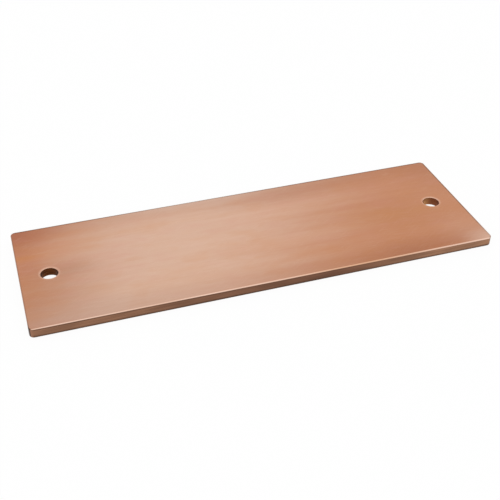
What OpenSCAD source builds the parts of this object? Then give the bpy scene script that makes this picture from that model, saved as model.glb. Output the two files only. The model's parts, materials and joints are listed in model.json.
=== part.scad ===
// Flat copper busbar with one bolt hole near each end, sawn from drawn bar.
// It lies flat: +X runs along the bar, +Y across it and +Z up through its thickness.
// The origin is the centre of the underside.

/* [Bar] */
// Length of the bar, end to end (12 in)
bar_length = 304.8; // [150:0.1:600]
// Width of the flat faces (4 in)
bar_width = 101.6; // [40:0.1:200]
// Thickness of the stock (1/4 in)
bar_thickness = 6.35; // [3:0.05:20]

/* [Edges] */
// Radius of the four corners, seen from above (about 1/8 in)
corner_radius = 3.2; // [0.5:0.1:15]
// Radius that rounds the edges of both flat faces
edge_radius = 0.5; // [0.2:0.05:2]

/* [Bolt holes] */
// Diameter of each hole (7/16 in, clears a 3/8 in bolt)
hole_diameter = 11.1125; // [5:0.0125:25]
// Distance from an end of the bar to the centre of its hole (3/4 in)
hole_end_distance = 19.05; // [16:0.05:60]
// Width and depth of the chamfer that deburrs both rims of a hole
hole_chamfer = 0.4; // [0.1:0.05:1.5]

/* [Hidden] */

// Facets of a full circle in the preview
$fn = 96;

// Pale salmon of clean copper
copper = "#cd9b80";

// The edge radius leaves a flat land on the side face and stays inside the corner radius
edge_r = min(edge_radius, 0.4 * bar_thickness, 0.9 * corner_radius);

// The two chamfers of a hole leave at least half of its wall straight
hole_break = min(hole_chamfer, bar_thickness / 4);

hole_r = hole_diameter / 2;
hole_x = bar_length / 2 - hole_end_distance;

// Centres of the corner radii
corner_x = bar_length / 2 - corner_radius;
corner_y = bar_width / 2 - corner_radius;

// How far a cutting shape runs past the surface that it cuts
overshoot = 1;

// Cross-section of the stock at any width: a rectangle that stands on y = 0 with four round corners.
module section(width) {
    translate([-width / 2, edge_r])
        square([width, bar_thickness - 2 * edge_r]);
    translate([edge_r - width / 2, 0])
        square([width - 2 * edge_r, bar_thickness]);
    for (side = [-1, 1], height = [edge_r, bar_thickness - edge_r])
        translate([side * (width / 2 - edge_r), height])
            circle(r = edge_r);
}

// The stretch of bar between the corner centres, with both long edges rounded.
module long_body() {
    rotate([90, 0, 90])
        linear_extrude(height = 2 * corner_x, center = true)
            section(bar_width);
}

// The same section turned across the bar, which rounds the edges of both sawn ends.
module cross_body() {
    rotate([90, 0, 0])
        linear_extrude(height = 2 * corner_y, center = true)
            section(bar_length);
}

// A quarter turn of the rounded edge about a corner centre.
module corner() {
    rotate_extrude(angle = 90)
        intersection() {
            section(2 * corner_radius);
            translate([0, -overshoot])
                square([corner_radius + overshoot, bar_thickness + 2 * overshoot]);
        }
}

// The sawn length of bar with every outer edge rounded and no holes yet.
module blank() {
    long_body();
    cross_body();
    for (quarter = [0 : 3])
        translate([
            (quarter == 0 || quarter == 3 ? 1 : -1) * corner_x,
            (quarter < 2 ? 1 : -1) * corner_y,
            0,
        ])
            rotate([0, 0, 90 * quarter])
                corner();
}

// Cutter for one drilled hole: a straight bore that opens into a chamfer at both faces.
module bolt_hole() {
    flare = hole_r + hole_break + overshoot;
    rotate_extrude()
        polygon([
            [0, -overshoot],
            [flare, -overshoot],
            [hole_r, hole_break],
            [hole_r, bar_thickness - hole_break],
            [flare, bar_thickness + overshoot],
            [0, bar_thickness + overshoot],
        ]);
}

module busbar() {
    color(copper)
        difference() {
            blank();
            for (end = [-1, 1])
                translate([end * hole_x, 0, 0])
                    bolt_hole();
        }
}

busbar();
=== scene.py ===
"""Dresses the copper busbar: its skin as a fine mesh, its finishes, a pale floor, the lamps and the camera.

Lengths are in metres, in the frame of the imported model: +X runs along the bar, +Y across it, +Z up,
with the origin at the centre of the underside. The finishes give their places and sizes in millimetres.
"""

import json
import logging
import math
from dataclasses import dataclass, field
from enum import Enum, IntEnum
from typing import Any

import bpy
import numpy as np
from mathutils import Euler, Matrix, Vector


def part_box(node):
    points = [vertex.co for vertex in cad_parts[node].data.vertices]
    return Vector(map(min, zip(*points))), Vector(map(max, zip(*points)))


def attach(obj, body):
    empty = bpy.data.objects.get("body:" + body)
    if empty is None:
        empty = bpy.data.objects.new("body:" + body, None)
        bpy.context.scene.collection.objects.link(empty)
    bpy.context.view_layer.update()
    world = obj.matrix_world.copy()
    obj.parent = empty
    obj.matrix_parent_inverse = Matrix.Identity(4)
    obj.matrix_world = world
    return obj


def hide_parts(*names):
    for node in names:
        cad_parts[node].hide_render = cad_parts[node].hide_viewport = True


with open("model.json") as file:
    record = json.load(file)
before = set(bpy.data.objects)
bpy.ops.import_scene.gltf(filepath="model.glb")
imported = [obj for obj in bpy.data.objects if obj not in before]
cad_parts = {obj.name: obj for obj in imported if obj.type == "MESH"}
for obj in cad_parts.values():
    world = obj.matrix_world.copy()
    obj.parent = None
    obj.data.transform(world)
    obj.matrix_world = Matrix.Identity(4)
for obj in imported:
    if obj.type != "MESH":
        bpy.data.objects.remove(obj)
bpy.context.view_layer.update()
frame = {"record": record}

MM = 0.001
log = logging.getLogger("busbar")

Tree = bpy.types.ShaderNodeTree
Socket = bpy.types.NodeSocket
Colour = tuple[float, float, float, float]
Pair = tuple[float, float]
Triple = tuple[float, float, float]

WHITE: Colour = (1.0, 1.0, 1.0, 1.0)


class Zone(IntEnum):
    """How a part of the skin was made, which is also the number of its material slot."""

    FACE = 0
    MILL_EDGE = 1
    SAWN = 2
    BORE = 3
    HOLE_RIM = 4


class End(Enum):
    """The two ends of the bar, as the sign of their X."""

    LEFT = -1
    RIGHT = 1


# Numbers and arrays


def spaced(stops: list[float], steps: list[float]) -> np.ndarray:
    """Places the grid lines between stops, evenly within each stretch.

    The slack keeps a stretch that is a whole number of steps long from getting one more by rounding.

    Args:
        stops: Where lines have to be, in rising order.
        steps: The greatest distance between lines in each stretch.

    Returns:
        All the line positions in order, each stop once.
    """
    slack = 1e-6
    stretches = [
        np.linspace(low, high, max(1, math.ceil((high - low) / step - slack)) + 1)[:-1]
        for low, high, step in zip(stops[:-1], stops[1:], steps)
    ]
    return np.concatenate([*stretches, [stops[-1]]])


def lattice(rows: int, columns: int, closed: bool = False) -> np.ndarray:
    """Quads between the neighbouring points of a grid.

    Args:
        rows: How many rows the grid has.
        columns: How many points a row has.
        closed: Whether the last column joins the first one.

    Returns:
        One row of four point numbers for each quad, row by row.
    """
    number = np.arange(rows * columns).reshape(rows, columns)
    if closed:
        number = np.hstack([number, number[:, :1]])
    quad_corners = [number[:-1, :-1], number[:-1, 1:], number[1:, 1:], number[1:, :-1]]
    return np.stack(quad_corners, axis=-1).reshape(-1, 4)


def smoothstep(low: float, high: float, value: np.ndarray) -> np.ndarray:
    """Rises from 0 at low to 1 at high along 3t squared less 2t cubed, and is level outside them."""
    t = np.clip((value - low) / (high - low), 0.0, 1.0)
    return t * t * (3.0 - 2.0 * t)


@dataclass
class Skin:
    """A stretch of surface: its points, the quads between them and the zone of each quad."""

    points: np.ndarray
    quads: np.ndarray
    zones: np.ndarray


def welded(skins: list[Skin]) -> tuple[np.ndarray, list[np.ndarray], np.ndarray]:
    """Joins stretches of surface that share their border points into one closed surface.

    Points are the same where they fall in the same cell of a fine grid. The grid is shifted by a part of
    a cell, so that no round size lies on the border of two cells. A quad that has two corners in one place
    becomes a triangle.

    Args:
        skins: The stretches, with their quads facing outwards.

    Returns:
        The points, the faces as one array of quads and one of triangles, and the zone of each face.
    """
    cell, shift = 1e-7, 0.2178
    points = np.concatenate([s.points for s in skins])
    starts = np.cumsum([0] + [len(s.points) for s in skins[:-1]])
    quads = np.concatenate([s.quads + start for s, start in zip(skins, starts)])
    zones = np.concatenate([s.zones for s in skins])
    used = np.unique(quads)
    cells = np.round(points[used] / cell + shift).astype(np.int64)
    _, first, number = np.unique(cells, axis=0, return_index=True, return_inverse=True)
    new_number = np.zeros(len(points), dtype=np.int64)
    new_number[used] = number.reshape(-1)
    quads = new_number[quads]
    repeated = quads == np.roll(quads, -1, axis=1)
    pinched = repeated.any(axis=1)
    triangles = quads[pinched][~repeated[pinched]].reshape(-1, 3)
    zones = np.concatenate([zones[~pinched], zones[pinched]])
    return points[used][first], [quads[~pinched], triangles], zones


# Shader nodes


def linear(code: str) -> Colour:
    """Turns an sRGB colour such as "#cd9b80" into the linear one that a shader takes."""
    parts = (int(code[i : i + 2], 16) / 255.0 for i in (1, 3, 5))
    return (*(p / 12.92 if p <= 0.04045 else ((p + 0.055) / 1.055) ** 2.4 for p in parts), 1.0)


def add(
    tree: Tree, kind: str, settings: dict[Any, Any] | None = None, links: dict[Any, Socket] | None = None
) -> bpy.types.Node:
    """Adds one node to a tree.

    Args:
        tree: The material's tree.
        kind: The node's type.
        settings: Values by the name of a property, or by the name or number of an input.
        links: Sockets that feed an input, by its name or number.

    Returns:
        The node.
    """
    node = tree.nodes.new(kind)
    for name, value in (settings or {}).items():
        if isinstance(name, str) and hasattr(node, name):
            setattr(node, name, value)
        else:
            node.inputs[name].default_value = value
    for name, socket in (links or {}).items():
        tree.links.new(socket, node.inputs[name])
    return node


def maths(tree: Tree, operation: str, *values: Socket | float) -> Socket:
    """One step of arithmetic.

    Args:
        tree: The material's tree.
        operation: What it does, such as ADD or ABSOLUTE.
        values: What it works on, sockets or plain numbers.

    Returns:
        The result.
    """
    numbers = {i: v for i, v in enumerate(values) if not isinstance(v, bpy.types.NodeSocket)}
    sockets = {i: v for i, v in enumerate(values) if isinstance(v, bpy.types.NodeSocket)}
    return add(tree, "ShaderNodeMath", {"operation": operation, **numbers}, sockets).outputs[0]


def place(tree: Tree) -> Socket:
    """A point's own place on the bar, in metres."""
    return add(tree, "ShaderNodeTexCoord").outputs["Object"]


def axes(tree: Tree) -> tuple[Socket, Socket, Socket]:
    """A point's x, y and z on the bar, in millimetres."""
    scaled = add(tree, "ShaderNodeMapping", {"Scale": (1.0 / MM,) * 3}, {"Vector": place(tree)})
    return tuple(add(tree, "ShaderNodeSeparateXYZ", links={0: scaled.outputs[0]}).outputs)


def ramp(tree: Tree, value: Socket, source: Pair, target: Pair = (0.0, 1.0)) -> Socket:
    """Maps a value smoothly from one range to another, and holds it level outside.

    Args:
        tree: The material's tree.
        value: The value.
        source: Where the change starts and ends. The first may be the greater one.
        target: The results at those two.

    Returns:
        The mapped value.
    """
    limits = {1: source[0], 2: source[1], 3: target[0], 4: target[1]}
    node = add(tree, "ShaderNodeMapRange", {"interpolation_type": "SMOOTHSTEP", **limits}, {0: value})
    return node.outputs[0]


def blend(tree: Tree, share: Socket | float, first: Socket | Colour, second: Socket | Colour) -> Socket:
    """Mixes two colours.

    Args:
        tree: The material's tree.
        share: From 0, all the first, to 1, all the second.
        first: The colour below.
        second: The colour above.

    Returns:
        The mixed colour.
    """
    values, sockets = {"data_type": "RGBA"}, {}
    for key, item in ((0, share), (6, first), (7, second)):
        (sockets if isinstance(item, bpy.types.NodeSocket) else values)[key] = item
    return add(tree, "ShaderNodeMix", values, sockets).outputs[2]


def bumped(tree: Tree, shader: bpy.types.Node, height: Socket, strength: float, depth: float) -> None:
    """Gives a shader the relief of a pattern that is too fine for the mesh.

    Args:
        tree: The material's tree.
        shader: The shader.
        height: The pattern.
        strength: How much of the relief shows, from 0 to 1.
        depth: The height between its 0 and 1, in millimetres.
    """
    relief = {"Strength": strength, "Distance": depth * MM}
    bump = add(tree, "ShaderNodeBump", relief, {"Height": height})
    tree.links.new(bump.outputs[0], shader.inputs["Normal"])


def metal(name: str, roughness: float) -> tuple[bpy.types.Material, Tree, bpy.types.Node]:
    """Starts a bare metal.

    Args:
        name: The finish's name.
        roughness: The shader's roughness, the same all over.

    Returns:
        The material, its tree and its shader.
    """
    material = bpy.data.materials.new(name)
    material.use_nodes = True
    shader = material.node_tree.nodes["Principled BSDF"]
    shader.inputs["Metallic"].default_value = 1.0
    shader.inputs["Roughness"].default_value = roughness
    return material, material.node_tree, shader


# Patterns and marks


@dataclass(frozen=True)
class Grain:
    """Noise on the bar, whose value goes from 0 to 1 and is mostly near a half.

    The size is the length of a feature along X, Y and Z, in millimetres. The seed is a shift that tells two
    patterns apart, and the detail is how many finer layers there are.
    """

    size: Triple
    seed: float = 0.0
    detail: float = 2.0

    def value(self, tree: Tree) -> Socket:
        """Adds the noise to a tree.

        Args:
            tree: The material's tree.

        Returns:
            Its value.
        """
        scale = tuple(1.0 / (length * MM) for length in self.size)
        where = {"Location": (self.seed,) * 3, "Scale": scale}
        mapped = add(tree, "ShaderNodeMapping", where, {"Vector": place(tree)})
        settings = {"Scale": 1.0, "Detail": self.detail}
        return add(tree, "ShaderNodeTexNoise", settings, {"Vector": mapped.outputs[0]}).outputs[0]


@dataclass(frozen=True)
class Tint:
    """A colour that covers another as far as a value says: not at all at start, and most at full."""

    colour: str
    start: float
    full: float
    most: float = 1.0

    def over(self, tree: Tree, under: Socket | Colour, value: Socket) -> Socket:
        """Lays the colour over another.

        Args:
            tree: The material's tree.
            under: The colour that it covers.
            value: What decides how much of it there is.

        Returns:
            The mixed colour.
        """
        share = ramp(tree, value, (self.start, self.full), (0.0, self.most))
        return blend(tree, share, under, linear(self.colour))


@dataclass(frozen=True)
class Patch:
    """A soft oval of another colour, seen from above. Some are stains and places freed of tarnish; others are
    painted highlights and painted shade.

    The centre and the half lengths are in millimetres. The oval is at full strength inside and fades
    over its border, which is given as a part of its radius.
    """

    centre: Pair
    size: Pair
    strength: float
    colour: str
    border: float = 1.0

    def over(self, tree: Tree, under: Socket | Colour) -> Socket:
        """Lays the oval over a colour.

        Args:
            tree: The material's tree.
            under: The colour that it covers.

        Returns:
            The colour with the oval on it.
        """
        x, y, length, width = (value * MM for value in (*self.centre, *self.size))
        where = {"vector_type": "TEXTURE", "Location": (x, y, 0.0), "Scale": (length, width, 1.0)}
        mapped = add(tree, "ShaderNodeMapping", where, {"Vector": place(tree)})
        ball = {"gradient_type": "SPHERICAL"}
        fade = add(tree, "ShaderNodeTexGradient", ball, {"Vector": mapped.outputs[0]}).outputs["Fac"]
        return Tint(self.colour, 0.0, self.border, self.strength).over(tree, under, fade)


@dataclass(frozen=True)
class Scratches:
    """Sparse hairline scratches that all lie in one direction, in degrees from +X.

    They are the peaks of a noise stretched in that direction. The size is their length, width and depth
    into the bar, in millimetres. A real one is about 0.03 mm wide and would never show, so they are
    drawn 0.16 mm wide.
    """

    turn: float
    seed: float
    size: Triple = (16.0, 0.16, 2.0)
    mark: Tint = Tint("#f0d6c6", 0.70, 0.80, 0.13)

    def over(self, tree: Tree, under: Socket) -> Socket:
        """Lays the scratches over a colour.

        Args:
            tree: The material's tree.
            under: The colour that they cover.

        Returns:
            The colour with the scratches on it.
        """
        where = {
            "vector_type": "TEXTURE",
            "Location": (self.seed, self.seed, 0.0),
            "Rotation": (0.0, 0.0, math.radians(self.turn)),
            "Scale": tuple(length * MM for length in self.size),
        }
        mapped = add(tree, "ShaderNodeMapping", where, {"Vector": place(tree)})
        noise = add(tree, "ShaderNodeTexNoise", {"Scale": 1.0, "Detail": 0.0}, {"Vector": mapped.outputs[0]})
        return self.mark.over(tree, under, noise.outputs[0])


def marked(tree: Tree, under: Socket | Colour, marks: tuple[Patch | Scratches, ...]) -> Socket:
    """Lays marks over a colour, one after the other.

    Args:
        tree: The material's tree.
        under: The colour that they cover.
        marks: The marks, the lowest first.

    Returns:
        The colour with the marks on it.
    """
    for mark in marks:
        under = mark.over(tree, under)
    return under


@dataclass(frozen=True)
class NearEdgeHighlight:
    """A painted highlight along the upper near edge, in a soft pale line over the face and the side.

    The line starts on the face just before the edge and ends on the round of the edge. From the left end
    to the right end it gets narrower on the face and reaches lower on the side. Its places are in
    millimetres, and the two of each pair are those at the left end and at the right end.
    """

    colour: str = "#f0ccb8"
    mottle: Grain = Grain((30.0, 4.0, 4.0), seed=1.3)
    dull: Tint = Tint("#d8ae94", 0.35, 0.75, 0.6)
    # Painted highlight: the line turns duller and more orange towards the right end.
    painted_light_patches: tuple[Patch, ...] = (Patch((60.0, -50.0), (80.0, 50.0), 0.9, "#dfae8c"),)
    ends: Pair = (-152.4, 152.4)
    lip: Pair = (49.98, 50.22)
    lowest: Pair = (6.13, 5.60)
    soft: float = 0.12

    def over(self, tree: Tree, under: Socket) -> Socket:
        """Lays the painted highlight over a colour.

        Args:
            tree: The material's tree.
            under: The colour that it covers.

        Returns:
            The colour with the line on it.
        """
        highlight_colour = self.dull.over(tree, linear(self.colour), self.mottle.value(tree))
        x, y, z = axes(tree)
        lip, lowest = ramp(tree, x, self.ends, self.lip), ramp(tree, x, self.ends, self.lowest)
        past_lip = maths(tree, "SUBTRACT", maths(tree, "MULTIPLY", y, -1.0), lip)
        above = maths(tree, "SUBTRACT", z, lowest)
        share = [ramp(tree, distance, (-self.soft, self.soft)) for distance in (past_lip, above)]
        return blend(tree, maths(tree, "MULTIPLY", *share), under, marked(tree, highlight_colour, self.painted_light_patches))


# Finishes


@dataclass(frozen=True)
class DrawnCopper:
    """Drawn electrolytic copper, satin, with a pale band across the middle and lightly tarnished elsewhere.

    It gives the eye a soft salmon sheen without a mirror image. The pale band is partly copper free of
    tarnish and partly a painted reflection of the softbox behind the bar. The pale ovals laid over it are
    partly places freed of tarnish and halos round the holes, and partly painted highlights, most of all at
    the near right corner. Air and handling turn it a warmer orange brown, in soft clouds that lean now to
    orange and now to pink. It is darker towards both long sides, and painted shade darkens the last
    millimetre before the far edge and the ends. The die's own lines are some 0.1 mm apart and are drawn 0.6
    mm apart to show.

    The pale band rises and falls with x plus the slant times y, in millimetres. Each cloud has its noise, its
    orange and its pink. The bump is its strength and its depth in millimetres.
    """

    # Painted reflection: the pale band's colour is partly bare copper and partly the softbox's sheen.
    clean_and_sheen: str = "#cfab95"
    tarnished: str = "#c48865"
    roughness: float = 0.315
    bump: Pair = (0.22, 0.02)
    band_slant: float = -0.4
    band_rise: Pair = (-175.0, -80.0)
    band_fall: Pair = (-45.0, 110.0)
    band_waver: float = 8.0
    waver_span: Pair = (0.3, 0.7)
    streaks: Grain = Grain((120.0, 9.0, 4.0))
    streak_tint: Tint = Tint("#9c5f43", 0.35, 0.75, 0.05)
    draw_lines: Grain = Grain((90.0, 0.6, 0.6), seed=7.7, detail=3.0)
    line_tint: Tint = Tint("#9c5f43", 0.40, 0.75, 0.07)
    clouds: tuple[tuple[Grain, Tint, Tint], ...] = (
        (
            Grain((60.0, 20.0, 20.0), seed=5.3),
            Tint("#c58250", 0.48, 0.72, 0.15),
            Tint("#c98a7a", 0.52, 0.28, 0.15),
        ),
        (
            Grain((18.0, 9.0, 9.0), seed=3.1),
            Tint("#c58250", 0.48, 0.72, 0.12),
            Tint("#c98a7a", 0.52, 0.28, 0.12),
        ),
    )
    side_tint: Tint = Tint("#9c5f43", 28.0, 52.0, 0.28)
    # Painted shade: a dark brown over the last millimetre before the far edge and the ends.
    border_shade_tint: Tint = Tint("#6f5140", 0.0, 0.6, 0.7)
    border_right: float = 150.9
    border_left: float = 151.45
    border_far: float = 49.3
    stains: tuple[Patch, ...] = (
        Patch((-160.0, 55.0), (55.0, 45.0), 0.80, "#a0593c"),
        Patch((-145.0, -22.0), (65.0, 50.0), 0.30, "#9c5f43"),
        Patch((100.0, -55.0), (70.0, 30.0), 0.40, "#9c5f43"),
        Patch((155.0, 40.0), (40.0, 45.0), 0.22, "#9c5f43"),
        Patch((30.0, 40.0), (70.0, 14.0), 0.20, "#9c5f43"),
        Patch((-148.0, 12.0), (22.0, 26.0), 0.30, "#b16a52"),
        Patch((-150.0, 19.0), (26.0, 7.0), 0.35, "#c98648"),
        Patch((-122.0, 1.0), (30.0, 14.0), 0.30, "#a5735c"),
        Patch((105.0, -8.0), (55.0, 30.0), 0.32, "#b97c46"),
    )
    # Pale ovals: places freed of tarnish and halos round the holes, and painted highlights, most of all the
    # one at the near right corner.
    wipes_and_highlights: tuple[Patch, ...] = (
        Patch((-105.0, -50.0), (95.0, 24.0), 0.30, "#cdb3a3"),
        Patch((-30.0, 52.0), (85.0, 16.0), 0.45, "#cbb2a2"),
        Patch((40.0, 21.0), (80.0, 13.0), 0.22, "#dcb49d"),
        Patch((35.0, -14.0), (60.0, 10.0), 0.20, "#dcb49d"),
        Patch((145.0, -40.0), (34.0, 32.0), 0.30, "#cfa48e"),
        Patch((152.0, -51.0), (24.0, 18.0), 0.65, "#dcb9a4"),
        Patch((-133.35, 0.0), (7.4, 7.4), 0.50, "#dab09a", 0.16),
        Patch((133.35, 0.0), (7.4, 7.4), 0.50, "#d9a88c", 0.16),
    )
    scratches: tuple[Scratches, ...] = (Scratches(3.0, 0.0), Scratches(-11.0, 0.37), Scratches(34.0, 0.74))

    def make(self) -> bpy.types.Material:
        """Builds the material.

        Returns:
            The material.
        """
        material, tree, shader = metal("drawn_copper_satin", self.roughness)
        streaks, lines = self.streaks.value(tree), self.draw_lines.value(tree)
        colour = marked(tree, self.ground(tree, streaks), self.stains)
        colour = self.streak_tint.over(tree, colour, streaks)
        # The pale ovals go on: partly bare copper, partly painted highlights.
        colour = marked(tree, self.clouded_and_edge_shaded(tree, colour), self.wipes_and_highlights)
        colour = self.line_tint.over(tree, colour, lines)
        # The painted highlight along the upper near edge goes on last.
        colour = NearEdgeHighlight().over(tree, marked(tree, colour, self.scratches))
        tree.links.new(colour, shader.inputs["Base Color"])
        bumped(tree, shader, lines, *self.bump)
        return material

    def ground(self, tree: Tree, streaks: Socket) -> Socket:
        """The tarnished colour with a slanting pale band across it, partly bare copper and partly painted
        reflection, whose borders waver with the streaks.

        Args:
            tree: The material's tree.
            streaks: The pattern of the streaks.

        Returns:
            The colour.
        """
        x, y, _ = axes(tree)
        waver = ramp(tree, streaks, self.waver_span, (-self.band_waver, self.band_waver))
        along = maths(tree, "ADD", x, maths(tree, "MULTIPLY", y, self.band_slant))
        along = maths(tree, "ADD", along, waver)
        # The pale band: partly bare copper, partly a painted reflection of the softbox.
        rise, fall = ramp(tree, along, self.band_rise), ramp(tree, along, self.band_fall, (1.0, 0.0))
        return blend(tree, maths(tree, "MULTIPLY", rise, fall), linear(self.tarnished), linear(self.clean_and_sheen))

    def clouded_and_edge_shaded(self, tree: Tree, colour: Socket) -> Socket:
        """Lays clouds over a colour, browns it towards both long sides, and lays painted shade before the far
        edge and the ends.

        Args:
            tree: The material's tree.
            colour: The colour below.

        Returns:
            The aged colour.
        """
        for grain, orange, pink in self.clouds:
            cloud = grain.value(tree)
            colour = pink.over(tree, orange.over(tree, colour, cloud), cloud)
        x, y, _ = axes(tree)
        colour = self.side_tint.over(tree, colour, maths(tree, "ABSOLUTE", y))
        # Painted shade along the far edge and the ends.
        over_right = maths(tree, "SUBTRACT", x, self.border_right)
        over_left = maths(tree, "SUBTRACT", -self.border_left, x)
        over_far = maths(tree, "SUBTRACT", y, self.border_far)
        over = maths(tree, "MAXIMUM", maths(tree, "MAXIMUM", over_right, over_left), over_far)
        return self.border_shade_tint.over(tree, colour, over)


@dataclass(frozen=True)
class HoleRim:
    """The deburring chamfers of the holes: freshly cut copper, made paler still as a painted highlight, which
    shows as a thin pale ring.
    """

    # Painted highlight: the ring's pale colour is partly fresh copper and partly the chamfer's highlight.
    colour: str = "#e2b8a0"
    roughness: float = 0.36
    mottle: Grain = Grain((4.0, 4.0, 4.0), seed=6.1)
    dull: Tint = Tint("#cf9d82", 0.35, 0.70)

    def make(self) -> bpy.types.Material:
        """Builds the material.

        Returns:
            The material.
        """
        material, tree, shader = metal("deburred_copper_rim", self.roughness)
        colour = self.dull.over(tree, linear(self.colour), self.mottle.value(tree))
        tree.links.new(colour, shader.inputs["Base Color"])
        return material


@dataclass(frozen=True)
class MillEdge:
    """The upright long sides as they left the mill, under a thin brown oxide that dulls the metal, darkened
    further with painted shade: the dark reflection that an upright copper face shows.

    They are lighter towards both ends and darker along the upper and lower edge; along the lower edge the
    dark is painted shade, the reflected shadow where the bar meets the floor. Close to the corners it gives
    way to the cut metal. The rolling lines are some 0.1 mm apart, drawn 0.4 mm apart.
    """

    worn: str = "#ad8064"
    # Painted shade: this dark brown is partly the oxide's tone and partly the dark reflection of the upright
    # sides.
    shaded_oxide: str = "#7b5644"
    roughness: float = 0.42
    bump: Pair = (0.35, 0.03)
    rub_left: Pair = (65.0, -150.0)
    rub_left_share: float = 0.62
    rub_right: Pair = (30.0, 140.0)
    stains: Grain = Grain((22.0, 6.0, 3.0), seed=5.2, detail=1.0)
    stain_tint: Tint = Tint("#4a3529", 0.35, 0.65, 0.28)
    lines: Grain = Grain((60.0, 0.8, 0.4), seed=8.4)
    line_tint: Tint = Tint("#4a3529", 0.35, 0.70, 0.22)
    # Painted shade: darker along the lower edge, where the bar's reflected contact shadow would be.
    lower_edge_shade: Tint = Tint("#4a3529", 2.2, 0.4, 0.80)
    upper_edge: Tint = Tint("#4a3529", 4.9, 5.9, 0.55)
    corner: Tint = Tint("#a1745c", 149.4, 151.4, 0.8)

    def make(self) -> bpy.types.Material:
        """Builds the material.

        Returns:
            The material.
        """
        material, tree, shader = metal("mill_edge_copper_oxide", self.roughness)
        x, _, z = axes(tree)
        left = ramp(tree, x, self.rub_left, (0.0, self.rub_left_share))
        rub = maths(tree, "ADD", left, ramp(tree, x, self.rub_right))
        colour = blend(tree, rub, linear(self.shaded_oxide), linear(self.worn))
        lines = self.lines.value(tree)
        colour = self.stain_tint.over(tree, colour, self.stains.value(tree))
        colour = self.line_tint.over(tree, colour, lines)
        # Painted shade along the lower edge, and a darker band along the upper edge.
        colour = self.upper_edge.over(tree, self.lower_edge_shade.over(tree, colour, z), z)
        colour = self.corner.over(tree, colour, maths(tree, "ABSOLUTE", x))
        # The painted highlight along the upper near edge reaches down onto the side.
        tree.links.new(NearEdgeHighlight().over(tree, colour), shader.inputs["Base Color"])
        bumped(tree, shader, lines, *self.bump)
        return material


@dataclass(frozen=True)
class SawnEnd:
    """The sawn ends and their deburred edges: cut copper with upright tooth marks, which catch the light.

    A band saw's teeth leave marks some 0.2 mm apart, drawn 0.35 mm apart. The near left corner is darkened
    with painted shade.
    """

    colour: str = "#bb8b72"
    roughness: float = 0.40
    bump: Pair = (0.4, 0.05)
    tooth_marks: Grain = Grain((4.0, 0.35, 10.0), seed=2.9)
    mark_tint: Tint = Tint("#96705a", 0.30, 0.70, 0.7)
    # Painted shade: the near left corner of the end is darkened.
    painted_light_patches: tuple[Patch, ...] = (Patch((-152.4, -50.8), (9.0, 9.0), 0.95, "#38271e"),)

    def make(self) -> bpy.types.Material:
        """Builds the material.

        Returns:
            The material.
        """
        material, tree, shader = metal("sawn_copper_end", self.roughness)
        marks = self.tooth_marks.value(tree)
        colour = self.mark_tint.over(tree, linear(self.colour), marks)
        tree.links.new(marked(tree, colour, self.painted_light_patches), shader.inputs["Base Color"])
        bumped(tree, shader, marks, *self.bump)
        return material


@dataclass(frozen=True)
class DrilledBore:
    """The walls of the holes: rings of the drill's feed, on a dark brown that is painted shade inside the
    holes.

    The rings are some 0.15 mm apart, drawn 0.5 mm apart. The right hole is painted lighter, and tan on one
    side, as light that falls into it.
    """

    # Painted shade: the dark brown of the walls stands for the shade in the holes.
    colour: str = "#6e3f20"
    roughness: float = 0.50
    bump: Pair = (0.4, 0.04)
    rings: Grain = Grain((6.0, 6.0, 0.5), seed=4.6)
    ring_tint: Tint = Tint("#402311", 0.30, 0.70)
    # Painted light: the right hole lighter, and tan on the side that the light reaches.
    painted_light_patches: tuple[Patch, ...] = (
        Patch((133.5, 0.0), (20.0, 20.0), 1.0, "#824c30", 0.5),
        Patch((129.0, 4.0), (8.0, 8.0), 1.0, "#c48f5c", 0.8),
    )

    def make(self) -> bpy.types.Material:
        """Builds the material.

        Returns:
            The material.
        """
        material, tree, shader = metal("drilled_copper_bore", self.roughness)
        rings = self.rings.value(tree)
        colour = self.ring_tint.over(tree, linear(self.colour), rings)
        tree.links.new(marked(tree, colour, self.painted_light_patches), shader.inputs["Base Color"])
        bumped(tree, shader, rings, *self.bump)
        return material


# The bar


@dataclass
class Relief:
    """The small unevenness of the real surface, in metres. All of it lies inside the stock's nominal size.

    Each wave of the faces has a wavelength along X, one along Y and a phase. The saw's lines lean by a part
    of z and bow by a part of y squared. The marks of the saw and the drill are coarser than real ones, so
    that the mesh can hold them.
    """

    wave_depth: float = 0.030 * MM
    wave_forms: tuple[Triple, ...] = ((0.171, 0.190, 0.6), (0.620, 0.043, 2.1), (0.067, -0.110, 4.0))
    saw_depth: float = 0.045 * MM
    saw_pitch: float = 2.6 * MM
    saw_lean: float = 0.22
    saw_bow: float = 0.9
    drill_depth: float = 0.020 * MM
    drill_pitch: float = 1.1 * MM

    def waves(self, x: np.ndarray, y: np.ndarray) -> np.ndarray:
        """How far a flat face lies below its nominal plane.

        The long waves, each the sine of x and y over its wavelengths, are averaged and brought to the
        range from 0 to wave_depth.

        Args:
            x: The points' places along the bar.
            y: The points' places across it.

        Returns:
            The depth at each point.
        """
        total = np.zeros_like(x)
        for along, across, phase in self.wave_forms:
            total += np.sin(2.0 * np.pi * (x / along + y / across) + phase)
        return self.wave_depth * (0.5 + total / (2.0 * len(self.wave_forms)))

    def saw_marks(self, y: np.ndarray, z: np.ndarray) -> np.ndarray:
        """How deep the saw's feed marks are: a sine across lines that lean a little and bow with y."""
        across = y + self.saw_lean * z + self.saw_bow * y * y
        return self.saw_depth * (0.5 + 0.5 * np.sin(2.0 * np.pi * across / self.saw_pitch))

    def drill_marks(self, angle: np.ndarray, z: np.ndarray) -> np.ndarray:
        """How deep the drill's feed marks are: a sine along the bore that climbs one pitch in each turn."""
        climb = z / self.drill_pitch + angle / (2.0 * np.pi)
        return self.drill_depth * (0.5 + 0.5 * np.sin(2.0 * np.pi * climb))


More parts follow.
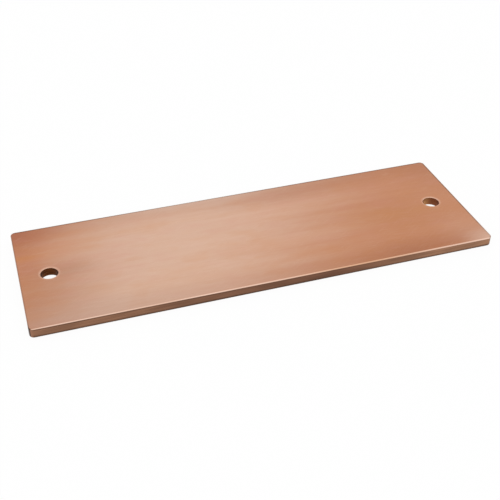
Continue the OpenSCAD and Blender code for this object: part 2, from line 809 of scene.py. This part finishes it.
@dataclass
class Bar:
    """The length of drawn copper bar with its rounded edges and two drilled holes.

    Round each hole, a square of the face twice the collar wide runs from the face's grid into the rim, with
    its rows crowded towards the rim. The lip is the narrow strip of face beside the rounded edge. Faces
    that meet at more than the sharp angle, in degrees, show a crease.
    """

    length: float
    width: float
    thickness: float
    hole_x: float
    hole_radius: float
    chamfer: float
    corner_radius: float = 3.2 * MM
    edge_radius: float = 0.5 * MM
    lip: float = 0.50 * MM
    collar: float = 9.0 * MM
    collar_steps: int = 24
    collar_rows: int = 8
    collar_crowding: float = 0.8
    bevel_steps: int = 3
    bore_rows: int = 21
    wall_rows: int = 7
    strip_rows: int = 3
    round_steps: int = 8
    coarse_step: float = 2.5 * MM
    fine_step: float = 1.2 * MM
    sharp_angle: float = 30.0
    underside_shift: float = 20.0 * MM
    relief: Relief = field(default_factory=Relief)

    @classmethod
    def from_frame(cls) -> "Bar":
        """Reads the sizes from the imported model: its box, and the record's bores.

        Returns:
            The bar.
        """
        low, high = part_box("busbar")
        bore = next(m for m in frame["record"]["mounts"] if m["name"] == "hole_right")
        thickness = high.z - low.z
        return cls(
            length=high.x - low.x,
            width=high.y - low.y,
            thickness=thickness,
            hole_x=bore["pos_m"][0],
            hole_radius=bore["dims"]["r_mm"] * MM,
            chamfer=(thickness - bore["dims"]["length_mm"] * MM) / 2.0,
        )

    @property
    def core(self) -> Pair:
        """Half the length and half the width between the centres of the corner radii."""
        return self.length / 2.0 - self.corner_radius, self.width / 2.0 - self.corner_radius

    def x_lines(self) -> np.ndarray:
        """Places the grid lines across the bar, close together round the holes.

        Returns:
            Their x in rising order.
        """
        near, far = self.hole_x - self.collar, self.hole_x + self.collar
        fine = 2.0 * self.collar / self.collar_steps
        end = self.core[0]
        steps = [self.coarse_step, fine, self.coarse_step, fine, self.coarse_step]
        return spaced([-end, -far, -near, near, far, end], steps)

    def y_lines(self) -> np.ndarray:
        """Places the grid lines along the bar, close together in the row of the holes.

        Returns:
            Their y in rising order.
        """
        fine = 2.0 * self.collar / self.collar_steps
        side = self.core[1]
        return spaced([-side, -self.collar, self.collar, side], [self.fine_step, fine, self.fine_step])

    def flat(self, height: float, upwards: bool) -> Skin:
        """One broad face, as a grid in x and y with a square left open round each hole.

        Args:
            height: The z of the face.
            upwards: Whether the face looks up.

        Returns:
            The face's skin.
        """
        x_lines, y_lines = self.x_lines(), self.y_lines()
        x, y = np.meshgrid(x_lines, y_lines)
        points = np.stack([x, y, np.full_like(x, height)], axis=-1).reshape(-1, 3)
        quads = lattice(len(y_lines), len(x_lines))
        middle = points[quads].mean(axis=1)
        open_x = np.abs(np.abs(middle[:, 0]) - self.hole_x) < self.collar
        quads = quads[~(open_x & (np.abs(middle[:, 1]) < self.collar))]
        if not upwards:
            quads = quads[:, ::-1]
        return Skin(points, quads, np.full(len(quads), Zone.FACE))

    def hole_profile(self) -> tuple[np.ndarray, np.ndarray]:
        """The section of a hole below its upper rim: chamfer, straight wall, chamfer.

        Returns:
            The radius and the height of its points, from the top down. Both rims are left out.
        """
        bevel = self.chamfer * np.linspace(0.0, 1.0, self.bevel_steps + 1)[1:-1]
        wall = np.linspace(self.thickness - self.chamfer, self.chamfer, self.bore_rows)
        rim = self.hole_radius + self.chamfer
        radius = np.concatenate([rim - bevel, np.full(len(wall), self.hole_radius), self.hole_radius + bevel])
        return radius, np.concatenate([self.thickness - bevel, wall, self.chamfer - bevel])

    def hole(self, end: End) -> Skin:
        """One drilled hole with the square of face round it, on both faces.

        The surface is a grid of angle and profile, which starts at the square's near left corner. On the
        faces, a point moves in a straight line from the square's border to the chamfer's rim. In the hole
        it follows the profile of chamfer, wall and chamfer turned about the axis.

        Args:
            end: Which end of the bar the hole is at.

        Returns:
            The hole's skin.
        """
        side = np.linspace(-self.collar, self.collar, self.collar_steps + 1)[:-1]
        edge = np.full_like(side, self.collar)
        square = np.concatenate(
            [np.stack(pair, -1) for pair in ((side, -edge), (edge, side), (-side, edge), (-edge, -side))]
        )
        angle = np.radians(-135.0) + np.linspace(0.0, 2.0 * np.pi, len(square), endpoint=False)
        ring = np.stack([np.cos(angle), np.sin(angle)], axis=-1)
        inward = np.linspace(0.0, 1.0, self.collar_rows)[:, None, None] ** self.collar_crowding
        spread = (1.0 - inward) * square + inward * (self.hole_radius + self.chamfer) * ring
        flat_top = np.concatenate([spread, np.full_like(spread[..., :1], self.thickness)], axis=-1)
        radius, height = self.hole_profile()
        column = np.broadcast_to(height[:, None, None], (len(height), len(ring), 1))
        inside = np.concatenate([radius[:, None, None] * ring, column], -1)
        flat_under = flat_top[::-1] * [1.0, 1.0, 0.0]
        points = np.concatenate([flat_top, inside, flat_under])
        points[..., 0] += end.value * self.hole_x
        rows, columns = points.shape[:2]
        middle = (np.arange(rows - 1) + 0.5)[:, None]
        from_end = np.minimum(middle, rows - 1 - middle)
        face_rows = self.collar_rows - 1
        inner = np.where(from_end < face_rows + self.bevel_steps, Zone.HOLE_RIM, Zone.BORE)
        zone = np.where(from_end < face_rows, Zone.FACE, inner)
        zones = np.broadcast_to(zone, (rows - 1, columns)).reshape(-1)
        return Skin(points.reshape(-1, 3), lattice(rows, columns, closed=True), zones)

    def outline(self) -> tuple[np.ndarray, np.ndarray]:
        """The way round the bar, seen from above and turning to the left.

        Returns:
            For each step, a point of the rectangle between the corner centres, and the direction
            outwards from it. A corner keeps its point while the direction makes a quarter turn.
        """
        end, side = self.core
        x, y = self.x_lines(), self.y_lines()
        sides = [
            np.stack([x, np.full_like(x, -side)], -1),
            np.stack([np.full_like(y, end), y], -1),
            np.stack([x[::-1], np.full_like(x, side)], -1),
            np.stack([np.full_like(y, -end), y[::-1]], -1),
        ]
        turn = np.arange(1, self.round_steps) * (np.pi / 2.0) / self.round_steps
        base, heading = [], []
        for quarter, line in enumerate(sides):
            start = (quarter - 1) * np.pi / 2.0
            base += [line, np.repeat(line[-1:], len(turn), axis=0)]
            heading += [np.full(len(line), start), start + turn]
        angle = np.concatenate(heading)
        return np.concatenate(base), np.stack([np.cos(angle), np.sin(angle)], axis=-1)

    def rim(self) -> Skin:
        """Everything outside the flat faces: the bar's edge profile carried round its outline.

        The profile is a strip of the top face, a quarter circle, the upright wall, a quarter circle and
        a strip of the underside, given as the distance outwards and the height. The strip ends in a
        narrow lip, so that the faces beside the edge are small. The finish of the long sides reaches to
        the middle of each corner, where the outward direction's y is the sine of 45 degrees, just over
        mid_corner.

        Returns:
            The rim's skin.
        """
        mid_corner = 0.7
        base, outwards = self.outline()
        strip = (self.corner_radius - self.edge_radius - self.lip) * np.linspace(0.0, 1.0, self.strip_rows)
        arc = np.linspace(0.0, np.pi / 2.0, self.round_steps + 1)
        bend = self.corner_radius - self.edge_radius * (1.0 - np.sin(arc))
        drop = self.edge_radius * (1.0 - np.cos(arc))
        wall = np.linspace(self.edge_radius, self.thickness / 2.0, self.wall_rows + 1)[1:]
        reach = np.concatenate([strip, bend, np.full(len(wall), self.corner_radius)])
        down = np.concatenate([np.zeros(len(strip)), drop, wall])
        reach = np.concatenate([reach, reach[-2::-1]])
        height = self.thickness - np.concatenate([down, self.thickness - down[-2::-1]])
        across = base + reach[:, None, None] * outwards
        column = np.broadcast_to(height[:, None, None], (*across.shape[:2], 1))
        points = np.concatenate([across, column], axis=-1)
        rows, columns = points.shape[:2]
        on_side = np.abs(outwards[:, 1]) > mid_corner
        on_side = np.broadcast_to(on_side & np.roll(on_side, -1), (rows - 1, columns))
        middle = (np.arange(rows - 1) + 0.5)[:, None]
        from_end = np.minimum(middle, rows - 1 - middle)
        upright = np.where(on_side, Zone.MILL_EDGE, Zone.SAWN)
        zones = np.where(from_end < len(strip), Zone.FACE, upright)
        quads = lattice(rows, columns, closed=True)[:, ::-1]
        return Skin(points.reshape(-1, 3), quads, zones.reshape(-1))

    def worn(self, points: np.ndarray) -> np.ndarray:
        """Gives the nominal surface its small unevenness.

        Each move depends on a point's own place alone, so the surface stays closed. The waves of the
        faces fade evenly through the thickness, and the underside's are those of the top, mirrored and
        shifted. The saw's marks start inside the end edges, and the drill's marks fade out at the chamfers.

        Args:
            points: The nominal points.

        Returns:
            The moved points.
        """
        x, y, z = points.T
        share = z / self.thickness
        lift = self.relief.waves(-x, y + self.underside_shift) * (1.0 - share)
        lift = lift - self.relief.waves(x, y) * share
        at_end = smoothstep(self.length / 2.0 - self.edge_radius, self.length / 2.0, np.abs(x))
        pull = self.relief.saw_marks(y, z) * at_end * np.sign(x)
        from_axis = np.stack([np.abs(x) - self.hole_x, y], axis=-1)
        radius = np.hypot(*from_axis.T)
        angle = np.arctan2(from_axis[:, 1], from_axis[:, 0])
        in_bore = 1.0 - smoothstep(self.hole_radius, self.hole_radius + self.chamfer, radius)
        widen = (self.relief.drill_marks(angle, z) * in_bore)[:, None] * from_axis / radius[:, None]
        return np.stack([x - pull + widen[:, 0] * np.sign(x), y + widen[:, 1], z + lift], axis=-1)

    def build(self) -> bpy.types.Object:
        """Makes the whole bar as one closed mesh, and dresses it.

        Returns:
            The bar's object, at the origin.
        """
        skins = [self.flat(self.thickness, True), self.flat(0.0, False), self.rim()]
        skins += [self.hole(end) for end in End]
        points, faces, zones = welded(skins)
        mesh = bpy.data.meshes.new("busbar_skin")
        mesh.from_pydata(self.worn(points).tolist(), [], [face for part in faces for face in part.tolist()])
        mesh.polygons.foreach_set("material_index", zones.astype(np.int32))
        mesh.polygons.foreach_set("use_smooth", np.ones(len(zones), dtype=bool))
        mesh.set_sharp_from_angle(angle=math.radians(self.sharp_angle))
        mesh.update()
        self.dress(mesh)
        bar = bpy.data.objects.new("copper_bar", mesh)
        bpy.context.scene.collection.objects.link(bar)
        return bar

    def dress(self, mesh: bpy.types.Mesh) -> None:
        """Gives the mesh the finish of each zone, in the order of the zones' numbers."""
        for finish in (DrawnCopper(), MillEdge(), SawnEnd(), DrilledBore(), HoleRim()):
            mesh.materials.append(finish.make())


# The studio


@dataclass
class Floor:
    """A plain white floor. Lamps light it, the bar shades it, and it shows white to camera and metal.

    It lies a hair below the bar, so that the two surfaces don't coincide.
    """

    size: float = 8.0
    height: float = -0.1 * MM
    white: str = "#f7f7f7"
    own_light: float = 0.95

    def build(self) -> bpy.types.Object:
        """Makes the floor as one square.

        Returns:
            The floor's object.
        """
        half = self.size / 2.0
        corner_points = [(-half, -half), (half, -half), (half, half), (-half, half)]
        mesh = bpy.data.meshes.new("floor")
        mesh.from_pydata([(x, y, self.height) for x, y in corner_points], [], [(0, 1, 2, 3)])
        mesh.materials.append(self.material())
        floor = bpy.data.objects.new("floor", mesh)
        bpy.context.scene.collection.objects.link(floor)
        return floor

    def material(self) -> bpy.types.Material:
        """Matt white card. Seen directly, or in metal or through glass, most of it is plain white light.

        Returns:
            The material.
        """
        material = bpy.data.materials.new("white_card_floor")
        material.use_nodes = True
        tree = material.node_tree
        tree.nodes.clear()
        path = add(tree, "ShaderNodeLightPath").outputs
        seen = maths(tree, "MAXIMUM", path["Is Camera Ray"], path["Is Glossy Ray"])
        seen = maths(tree, "MAXIMUM", seen, path["Is Transmission Ray"])
        card = add(tree, "ShaderNodeBsdfDiffuse", {"Color": linear(self.white)})
        light = add(tree, "ShaderNodeEmission", {"Color": WHITE, "Strength": 1.0})
        share = maths(tree, "MULTIPLY", seen, self.own_light)
        mix = add(tree, "ShaderNodeMixShader", links={0: share, 1: card.outputs[0], 2: light.outputs[0]})
        add(tree, "ShaderNodeOutputMaterial", links={"Surface": mix.outputs[0]})
        return material


@dataclass
class Softbox:
    """A rectangular lamp with a soft front, aimed at the middle of the bar.

    Its azimuth turns from +Y towards +X and its elevation rises from the floor, both in degrees.
    """

    name: str
    azimuth: float
    elevation: float
    distance: float
    size: Pair
    brightness: float

    def build(self) -> bpy.types.Object:
        """Makes the lamp. Its power is pi times its area times the brightness of its front.

        Returns:
            The lamp's object.
        """
        lamp = bpy.data.lights.new(self.name, "AREA")
        lamp.shape = "RECTANGLE"
        lamp.size, lamp.size_y = self.size
        lamp.energy = math.pi * self.size[0] * self.size[1] * self.brightness
        turn, rise = math.radians(self.azimuth), math.radians(self.elevation)
        away = Vector((math.sin(turn) * math.cos(rise), math.cos(turn) * math.cos(rise), math.sin(rise)))
        softbox = bpy.data.objects.new(self.name, lamp)
        softbox.location = away * self.distance
        softbox.rotation_euler = away.to_track_quat("Z", "Y").to_euler()
        softbox.visible_camera = False
        bpy.context.scene.collection.objects.link(softbox)
        return softbox


@dataclass
class Studio:
    """The even light of a white room, and the softboxes in it."""

    room: float = 1.0
    softboxes: tuple[Softbox, ...] = (
        Softbox("softbox_back", 12.0, 37.0, 1.4, (0.44, 0.40), 0.24),
        Softbox("softbox_front", 190.0, 40.0, 1.4, (0.5, 0.4), 0.30),
    )

    def build(self) -> list[bpy.types.Object]:
        """Makes the world and the lamps.

        Returns:
            The lamps' objects.
        """
        world = bpy.data.worlds.new("white_room")
        world.use_nodes = True
        background = world.node_tree.nodes["Background"]
        background.inputs["Color"].default_value = WHITE
        background.inputs["Strength"].default_value = self.room
        bpy.context.scene.world = world
        return [softbox.build() for softbox in self.softboxes]


@dataclass
class PhotoCamera:
    """The photograph's camera, found from the bar's own edges in a frame of 500 by 500 pixels.

    Its azimuth turns from +Y towards +X and it looks downwards, both in degrees.
    """

    place: Triple = (-151.31 * MM, -447.70 * MM, 346.28 * MM)
    azimuth: float = 17.677
    downwards: float = 37.037
    focal_px: float = 874.57
    centre_px: Pair = (238.32, 255.18)
    frame_px: float = 500.0
    sensor_mm: float = 36.0
    nearest: float = 10.0 * MM

    def build(self) -> bpy.types.Object:
        """Makes the camera and puts it in use.

        Returns:
            The camera's object.
        """
        lens = bpy.data.cameras.new("photo_camera")
        lens.sensor_width = self.sensor_mm
        lens.lens = self.sensor_mm * self.focal_px / self.frame_px
        lens.shift_x = 0.5 - self.centre_px[0] / self.frame_px
        lens.shift_y = self.centre_px[1] / self.frame_px - 0.5
        lens.clip_start = self.nearest
        camera = bpy.data.objects.new("photo_camera", lens)
        camera.location = self.place
        tilt, turn = math.radians(90.0 - self.downwards), math.radians(-self.azimuth)
        camera.rotation_euler = Euler((tilt, 0.0, turn))
        bpy.context.scene.collection.objects.link(camera)
        bpy.context.scene.camera = camera
        return camera


def main() -> None:
    """Builds the bar and the studio."""
    logging.basicConfig(level=logging.INFO, format="%(name)s: %(message)s")
    bpy.context.scene.view_settings.view_transform = "Standard"
    bar = Bar.from_frame().build()
    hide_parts("busbar")
    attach(bar, "root")
    log.info("%s: %d points, %d faces", bar.name, len(bar.data.vertices), len(bar.data.polygons))
    floor = Floor().build()
    log.info("%s: %.0f m wide", floor.name, floor.dimensions.x)
    for softbox in Studio().build():
        log.info("%s: %.2f W", softbox.name, softbox.data.energy)
    camera = PhotoCamera().build()
    log.info("%s: lens %.1f mm", camera.name, camera.data.lens)


if __name__ == "__main__":
    main()
